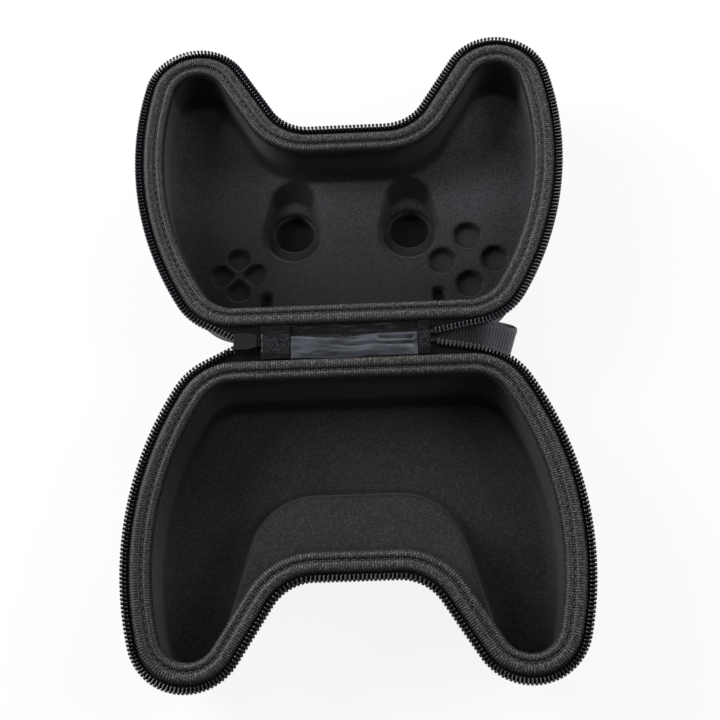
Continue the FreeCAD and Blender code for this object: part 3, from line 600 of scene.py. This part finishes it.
# half of a tooth's plan (to its right, inward from the tip)
tooth_plan = [(0.0, 0.0), (0.42, 0.08), (0.6, 0.4), (0.5, 0.75), (0.34, 1.0), (0.32, 1.8), (0.32, 2.6)]

teeth_finish, wire, place, facing = new_finish("coil_plastic")
scuff = wire.noise(place, 900.0, 3.0)
close_finish(
    wire, wire.tint(scuff, (0.004, 0.004, 0.007), (0.017, 0.017, 0.026)), 0.18 + scuff * 0.2, Coat_Weight=0.5,
)


def make_tooth(name):
    """One tooth over the start of its pitch, pointing to -Y, with the tip on the X axis."""
    left = [(-across, inward) for across, inward in reversed(tooth_plan[1:])]
    tooth = draw_ring(tooth_plan + left, False, 1)
    tooth.name = name
    bpy.ops.object.mode_set(mode="EDIT")
    bpy.ops.mesh.select_all(action="SELECT")
    bpy.ops.mesh.edge_face_add()
    bpy.ops.mesh.extrude_region_move(TRANSFORM_OT_translate={"value": (0, 0, tooth_height)})
    bpy.ops.mesh.bevel(offset=0.26 * mm, segments=2, affect="EDGES")
    bpy.ops.mesh.select_all(action="SELECT")
    bpy.ops.transform.translate(value=(tooth_pitch / 4, 0, 0))
    bpy.ops.object.mode_set(mode="OBJECT")
    return tooth


for half in ("base", "lid"):
    path, length = zip_path(half, 0.0, tooth_foot)
    count = round(length / tooth_pitch)
    teeth = make_tooth(f"{half}_coil")
    run_along(teeth, path, count, length / count)
    bpy.ops.object.shade_smooth_by_angle(angle=math.radians(35))
    wear(teeth, teeth_finish)
    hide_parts(f"{half}_zip_teeth")
    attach(teeth, half)
wear(frame["nodes"]["joined_teeth"], teeth_finish)


# Hinge: a dark cloth spine sewn under both bound edges, with a loose satin facing and a woven patch at each end.
# The satin was cut wider than its seams lie apart, so it bags into folds that run along the hinge.
satin_low, satin_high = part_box("hinge_satin")
satin_left = satin_low.x
satin_right = satin_high.x
satin_front = satin_low.y
satin_back = 2.3 * mm
satin_height = 36.5 * mm
satin_slack = 1.12
fold_height = 3.6 * mm
fold_stretch = 12.0
hem = 0.6 * mm
spine_low, spine_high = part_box("hinge_spine")


def make_cloth(name, low, high, height, grain):
    """A flat grid between two corners."""
    size = high - low
    cuts = [max(2, round(size.x / grain)), max(2, round(size.y / grain))]
    bpy.ops.mesh.primitive_grid_add(x_subdivisions=cuts[0], y_subdivisions=cuts[1], size=1.0)
    cloth = bpy.context.object
    cloth.name = name
    bpy.ops.object.mode_set(mode="EDIT")
    bpy.ops.mesh.select_all(action="SELECT")
    bpy.ops.transform.resize(value=(size.x, size.y, 1))
    bpy.ops.transform.translate(value=((low.x + high.x) / 2, (low.y + high.y) / 2, height))
    bpy.ops.object.mode_set(mode="OBJECT")
    return cloth


def thicken(piece, thickness, offset):
    solid = piece.modifiers.new("thick", "SOLIDIFY")
    solid.thickness = thickness
    solid.offset = offset
    bpy.ops.object.modifier_apply(modifier=solid.name)


def bend_at_hinge(piece):
    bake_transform(piece)


satin_finish, wire, place, facing = new_finish("satin")
# painted sheen in long patches along the hinge, and painted shade in the low parts of the folds
along = wire.node("Mapping", None, {0: place, 3: (0.25, 1.0, 1.0)})
painted_sheen_patches = wire.noise(along, 330.0, 3.0).between(0.33, 0.62, 0.0, 1.0)
painted_fold_shade = place.axis(2).between(36.15 * mm, 36.5 * mm, 0.0, 1.0)
close_finish(
    wire, wire.tint(painted_sheen_patches * painted_fold_shade, (0.006, 0.007, 0.009), (0.060, 0.069, 0.084)), 0.42, wire.noise(place, 2600.0),
    0.05 * mm, Sheen_Weight=0.3, Sheen_Roughness=0.3, Specular_IOR_Level=0.4,
)
satin = make_cloth(
    "satin_facing", Vector((satin_left, satin_front)), Vector((satin_right, satin_back)), satin_height, 0.5 * mm,
)
loose = satin.vertex_groups.new(name="loose")
sewn = satin.vertex_groups.new(name="sewn")
for vertex in satin.data.vertices:
    spot = vertex.co
    end_margin = min(spot.x - satin_left, satin_right - spot.x)
    side_margin = min(spot.y - satin_front, satin_back - spot.y)
    freedom = min((end_margin - hem) / (7 * hem), (side_margin - hem) / (2 * hem))
    loose.add([vertex.index], min(1.0, max(0.0, freedom)), "REPLACE")
    if min(end_margin, side_margin) < hem:
        sewn.add([vertex.index], 1.0, "REPLACE")

# long ripples along the hinge start the folds, and the slack in the cloth settles in them
bpy.ops.object.empty_add(location=(3 * mm, 0.7 * mm, 0), rotation=(0, 0, math.radians(-4)))
guide = bpy.context.object
guide.scale = (fold_stretch, 1, 1)
bpy.ops.object.select_all(action="DESELECT")
satin.select_set(True)
bpy.context.view_layer.objects.active = satin
ripple = bpy.data.textures.new("ripple", "CLOUDS")
ripple.noise_scale = 4.0 * mm
ripples = satin.modifiers.new("ripples", "DISPLACE")
ripples.texture = ripple
ripples.texture_coords = "OBJECT"
ripples.texture_coords_object = guide
ripples.direction = "Z"
ripples.mid_level = 0.45
ripples.strength = fold_height
ripples.vertex_group = "loose"
bpy.ops.object.modifier_apply(modifier=ripples.name)
bpy.data.objects.remove(guide)
satin.shape_key_add(name="sewn down", from_mix=False)
slack = satin.shape_key_add(name="as cut", from_mix=False)
for knot in slack.data:
    knot.co.y *= satin_slack
folds = satin.modifiers.new("folds", "CLOTH")
folds.settings.vertex_group_mass = "sewn"
folds.settings.rest_shape_key = slack
folds.settings.quality = 8
folds.settings.mass = 0.05
folds.settings.bending_stiffness = 0.05
folds.settings.effector_weights.gravity = 0.0
settle_frames = 24
folds.point_cache.frame_start = 1
folds.point_cache.frame_end = settle_frames
for moment in range(1, settle_frames + 1):
    bpy.context.scene.frame_set(moment)
bpy.ops.object.convert(target="MESH")
# its back edge sags between the stitches, and one deep fold with two ridges runs in from its right end
line_width = 0.3 * mm
for reach, line, push, spread in (
    ((-9, -3), satin_back, (0, -1.1, 0), 15), ((11, 24), 0.2 * mm, (0, 0, -0.8), 1.5),
    ((13, 24), 1.5 * mm, (0, 0, 0.5), 1.1), ((13, 24), -1.1 * mm, (0, 0, 0.5), 1.1),
):
    bpy.ops.object.mode_set(mode="EDIT")
    bpy.ops.mesh.select_mode(type="VERT")
    bpy.ops.mesh.select_all(action="DESELECT")
    bpy.ops.object.mode_set(mode="OBJECT")
    for vertex in satin.data.vertices:
        inside = reach[0] * mm < vertex.co.x < reach[1] * mm
        vertex.select = inside and abs(vertex.co.y - line) < line_width
    bpy.ops.object.mode_set(mode="EDIT")
    bpy.ops.transform.translate(
        value=Vector(push) * mm, use_proportional_edit=True, proportional_edit_falloff="SMOOTH",
        proportional_size=spread * mm,
    )
    bpy.ops.object.mode_set(mode="OBJECT")
satin_thick = 0.25 * mm
thicken(satin, satin_thick, 0.0)
bpy.ops.object.shade_smooth()
wear(satin, satin_finish)
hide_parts("hinge_satin")
bend_at_hinge(satin)

pebble = bpy.data.textures.new("pebble", "VORONOI")
pebble.noise_scale = 0.85 * mm
pebble.noise_intensity = 1.0


def make_pebbled(name, low, high, height, thickness, relief):
    """A woven piece with a pebbled face."""
    cloth = make_cloth(name, low, high, height, 0.28 * mm)
    raise_pebbles = cloth.modifiers.new("pebbles", "DISPLACE")
    raise_pebbles.texture = pebble
    raise_pebbles.texture_coords = "LOCAL"
    raise_pebbles.direction = "Z"
    raise_pebbles.mid_level = 1.0
    raise_pebbles.strength = -relief
    bpy.ops.object.modifier_apply(modifier=raise_pebbles.name)
    thicken(cloth, thickness, -1.0)
    bpy.ops.object.shade_smooth()
    wear(cloth, pebbled)
    return cloth


pebbled, wire, place, facing = new_finish("pebbled_weave")
cells = wire.node("TexVoronoi", None, {"Vector": place, "Scale": 1250.0})
knots = wire.math("POWER", 1 - cells, 2.0)
# painted shade: only its middle shows the pebbles, and further out the colour is darkened for the shade under the
# bound edges, with painted highlights along thin creases
middle = wire.math("ABSOLUTE", place.axis(1) + 0.8 * mm).between(3.1 * mm, 4.0 * mm, 1.0, 0.06)
creased = wire.noise(wire.node("Mapping", None, {0: place, 3: (0.12, 1.0, 1.0)}), 900.0, 1.0)
painted_crease_highlights = creased.between(0.56, 0.66, 0.0, 0.30)
lit = knots * wire.noise(place, 700.0) * 2.0 * middle + painted_crease_highlights * (1 - middle)
close_finish(
    wire, wire.tint(lit, (0.001, 0.001, 0.0015), (0.044, 0.044, 0.053)), 0.7, knots, 0.2 * mm, Specular_IOR_Level=0.12,
)
spine_size = spine_high - spine_low
spine = make_pebbled("spine_cloth", spine_low.xy, spine_high.xy, spine_high.z, spine_size.z, 0.12 * mm)
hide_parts("hinge_spine")
bend_at_hinge(spine)
for node in ("left_hinge_patch", "right_hinge_patch"):
    low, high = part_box(node)
    patch = make_pebbled(f"{node}_cloth", low.xy, high.xy, high.z, high.z - low.z, 0.3 * mm)
    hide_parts(node)
    bend_at_hinge(patch)


# Tape tails: each zip tape runs on past the slider and is sewn down under the end of the spine.
# A tight bar tack of thread holds them and the end of the left patch.
slider_left, slider_right = [corner.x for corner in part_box("zip_slider")]
tail_low = slider_left - 3.2 * mm
tail_high = spine_low.x + 0.4 * mm
tail_inner = 0.14 * mm
tail_outer = 7.6 * mm
tail_top = 35.95 * mm
tail_thick = 0.7 * mm
slider_taper = 3.1 * mm


def slider_edge(across):
    """How far the slider reaches from the zip's middle at a place along it; it narrows to its right end."""
    if across > slider_right:
        return 0.0
    if across < slider_left:
        return 2.4 * mm
    return min(3.5 * mm, 2.6 * mm + 0.9 * mm * (slider_right - across) / slider_taper)


for half, side in (("base", -1), ("lid", 1)):
    # the lid's tail swings under the slider when the case is opened past flat
    room = 0.4 * mm if half == "lid" else 0.0
    near, far = sorted((side * tail_inner, side * tail_outer))
    tail = make_cloth(f"{half}_tape_tail", Vector((tail_low, near)), Vector((tail_high, far)), tail_top, 0.25 * mm)
    bpy.ops.object.mode_set(mode="EDIT")
    bpy.ops.mesh.select_mode(type="FACE")
    bpy.ops.mesh.select_all(action="DESELECT")
    bpy.ops.object.mode_set(mode="OBJECT")
    for face in tail.data.polygons:
        edge = slider_edge(face.center.x)
        face.select = edge > 0 and abs(face.center.y) < edge + room
    bpy.ops.object.mode_set(mode="EDIT")
    bpy.ops.mesh.delete(type="FACE")
    bpy.ops.object.mode_set(mode="OBJECT")
    thicken(tail, tail_thick, -1.0)
    bpy.ops.object.shade_smooth_by_angle(angle=math.radians(40))
    wear(tail, tape_finish)
    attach(tail, half)

# half the size of one turn of its thread, and the row that the turns stand in
tack_turn = Vector((0.4, 0.22, 0.3)) * mm
tack_turns = 22
tack_start = Vector((-35.3, -3.9, 36.85)) * mm
tack_length = 7.2 * mm

tack_thread, wire, place, facing = new_finish("tack_thread")
twist = wire.noise(place, 3000.0)
close_finish(wire, wire.tint(twist, (0.05, 0.05, 0.055), (0.16, 0.16, 0.17)), 0.55, twist, 0.05 * mm)
bpy.ops.mesh.primitive_uv_sphere_add(segments=8, ring_count=6, radius=1.0)
tack = bpy.context.object
tack.name = "bar_tack"
bpy.ops.object.mode_set(mode="EDIT")
bpy.ops.mesh.select_all(action="SELECT")
bpy.ops.transform.resize(value=tack_turn)
bpy.ops.transform.translate(value=tack_start)
bpy.ops.object.mode_set(mode="OBJECT")
row = tack.modifiers.new("row", "ARRAY")
row.count = tack_turns
row.use_relative_offset = False
row.use_constant_offset = True
row.constant_offset_displace = (0, tack_length / (tack_turns - 1), 0)
bpy.ops.object.modifier_apply(modifier=row.name)
bpy.ops.object.shade_smooth()
wear(tack, tack_thread)
bend_at_hinge(tack)


# Zip hardware: a die-cast slider painted black, its pull on the outside, and small crimped stops.
metal, wire, place, facing = new_finish("black_paint")
wearing = wire.noise(place, 700.0, 3.0)
close_finish(
    wire, wire.tint(wearing, (0.003, 0.003, 0.0035), (0.008, 0.008, 0.009)), 0.45 + wearing * 0.15,
    Specular_IOR_Level=0.2,
)
metal_grain = 0.12 * mm
for node, body in (
    ("zip_slider", "base"), ("pull_tab", "pull"), ("bottom_stop", "base"), ("base_end_stop", "base"),
    ("lid_end_stop", "lid"),
):
    part = soft_copy(node, metal_grain, 3, body)
    wear(part, metal)


# Carry strap: a ribbed webbing folded into a loop, its two ends sewn under the right end of the spine.
# It turns on its way out, so the free end stands half on edge and shows its dark inside.
# in millimetres, seen from the hinge outwards
strap_width = 14.0
strap_cloth = 1.3
strap_root = 18.0
strap_turns_from = 30.0
strap_opens_from = 44.0
strap_fold_at = 60.0
strap_open = 7.0
strap_top = 34.1
strap_sag = 0.9
strap_offset = -0.6
strap_turn = 34.0
web_pitch = 1.15 * mm
web_depth = 0.2 * mm

webbing, wire, place, facing = new_finish("webbing")
rib = wire.node("Attribute", {"attribute_name": "rib"}, output=2)
weave = wire.noise(place, 1300.0, 3.0)
# painted shade on the part under the zip and painted light on the free end, with painted shade in the furrows between
# the ribs
painted_end_light = place.axis(0).between(49 * mm, 56 * mm, 0.14, 1.0)
share = (rib * 0.75 + weave * 0.5) * painted_end_light
close_finish(
    wire, wire.tint(share, (0.003, 0.003, 0.004), (0.128, 0.124, 0.146)), 0.6, weave, 0.12 * mm, Sheen_Weight=0.15,
    Specular_IOR_Level=0.3,
)


def eased(value, start, end):
    """How far a value is from start to end, from 0 to 1, with a soft beginning and end."""
    share = min(1.0, max(0.0, (value - start) / (end - start)))
    return share * share * (3 - 2 * share)


def strap_way():
    """The loop's way in the XZ plane: out along the upper layer, round the fold, and back along the lower one."""
    gap = strap_cloth + 0.05
    steps = 30
    upper, lower = [], []
    for step in range(steps + 1):
        along = strap_root + (strap_fold_at - strap_root) * step / steps
        top = strap_top - strap_sag * eased(along, strap_root, strap_turns_from)
        apart = gap + (strap_open - gap) * eased(along, strap_opens_from, strap_fold_at)
        upper.append((along, top))
        lower.append((along, top - apart))
    fold = []
    radius = strap_open / 2
    for step in range(1, 16):
        angle = math.pi / 2 - math.pi * step / 16
        fold.append((strap_fold_at + radius * math.cos(angle), top - radius + radius * math.sin(angle)))
    return [Vector((a, b)) * mm for a, b in upper + fold + lower[::-1]]


# the row is bent in the XY plane and then stood up, so that the ribs keep their way round the fold
path, length = draw_path(strap_way(), False, 0.0)
count = round(length / web_pitch)
half_strap = strap_width / 2
half_cloth = strap_cloth / 2
strap = draw_ring([
    (-half_cloth, -half_strap + 0.8), (0, -half_strap), (half_cloth, -half_strap + 0.8), (half_cloth, -3.5),
    (half_cloth, 0), (half_cloth, 3.5), (half_cloth, half_strap - 0.8), (0, half_strap),
    (-half_cloth, half_strap - 0.8), (-half_cloth, 3.5), (-half_cloth, 0), (-half_cloth, -3.5),
], True)
strap.name = "strap_loop"
rib_ring(strap, length / count)
run_along(strap, path, count, length / count)
bpy.ops.object.mode_set(mode="EDIT")
bpy.ops.mesh.select_mode(type="EDGE")
bpy.ops.mesh.select_all(action="DESELECT")
bpy.ops.mesh.select_non_manifold()
bpy.ops.mesh.edge_face_add()
bpy.ops.mesh.select_all(action="SELECT")
bpy.ops.mesh.normals_make_consistent(inside=False)
bpy.ops.transform.rotate(value=-math.pi / 2, orient_axis="X", center_override=(0, 0, 0))
bpy.ops.transform.translate(value=(0, strap_offset * mm, 0))
bpy.ops.object.mode_set(mode="OBJECT")
furrows_end = 52 * mm
sink_furrows(strap, web_depth, lambda place: place.x < furrows_end)

# the fold leans: its back corner reaches further out than its front one
bpy.ops.object.mode_set(mode="EDIT")
bpy.ops.mesh.select_mode(type="VERT")
bpy.ops.mesh.select_all(action="DESELECT")
bpy.ops.object.mode_set(mode="OBJECT")
strap.data.vertices.foreach_set("select", [vertex.co.x > strap_fold_at * mm for vertex in strap.data.vertices])
bpy.ops.object.mode_set(mode="EDIT")
bpy.ops.transform.rotate(
    value=math.radians(16), orient_axis="Z", center_override=(strap_fold_at * mm, 0, 0),
    use_proportional_edit=True, proportional_edit_falloff="SMOOTH", proportional_size=26 * mm,
)
bpy.ops.transform.translate(
    value=(0, -2.0 * mm, 0), use_proportional_edit=True, proportional_edit_falloff="SMOOTH",
    proportional_size=34 * mm,
)
bpy.ops.object.mode_set(mode="OBJECT")
pivot_place = Vector((strap_turns_from, half_strap + strap_offset, strap_top - strap_sag)) * mm
bpy.ops.object.empty_add(location=pivot_place)
pivot = bpy.context.object
bpy.ops.object.select_all(action="DESELECT")
strap.select_set(True)
bpy.context.view_layer.objects.active = strap
turn = strap.modifiers.new("turn", "SIMPLE_DEFORM")
turn.deform_method = "TWIST"
turn.deform_axis = "X"
turn.origin = pivot
turn.angle = math.radians(strap_turn)
turn.limits = (0.25, 0.8)
bpy.ops.object.modifier_apply(modifier=turn.name)
bpy.data.objects.remove(pivot)
wear(strap, webbing)
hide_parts("carry_strap")
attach(strap, "base")


# Setting: a plain white floor, a large soft light from behind on the left, and a weaker one on the right.
# The camera sees the floor mostly by its own glow, so that only a faint shadow is left on it.
bpy.ops.mesh.primitive_plane_add(size=6.0, location=(0, 0, -0.2 * mm))
floor = bpy.context.object
floor.name = "floor"
floor_finish, wire, place, facing = new_finish("white_floor")
paper = wire.node("BsdfDiffuse", None, {"Color": (0.9, 0.9, 0.9, 1)})
glow = wire.node("Emission", None, {"Color": (1, 1, 1, 1), "Strength": 1.0})
seen = wire.node("LightPath")
wire.node("OutputMaterial", None, {"Surface": wire.node("MixShader", None, {0: seen * 0.88, 1: paper, 2: glow})})
floor.data.materials.append(floor_finish)

world = bpy.data.worlds.new("studio")
bpy.context.scene.world = world
world.use_nodes = True
world.node_tree.nodes["Background"].inputs["Color"].default_value = (1, 1, 1, 1)
world.node_tree.nodes["Background"].inputs["Strength"].default_value = 0.25


def add_lamp(name, place, width, power):
    """A square softbox turned to the case."""
    bpy.ops.object.light_add(type="AREA", location=place)
    lamp = bpy.context.object
    lamp.name = name
    lamp.data.size = width
    lamp.data.energy = power
    lamp.rotation_mode = "QUATERNION"
    lamp.rotation_quaternion = (-Vector(place)).to_track_quat("-Z", "Y")


add_lamp("key_softbox", (-0.80, 0.42, 0.55), 0.6, 12.5)
add_lamp("back_softbox", (0.25, 0.95, 0.45), 0.5, 5.0)
add_lamp("right_softbox", (0.80, 0.0, 0.70), 0.5, 4.0)
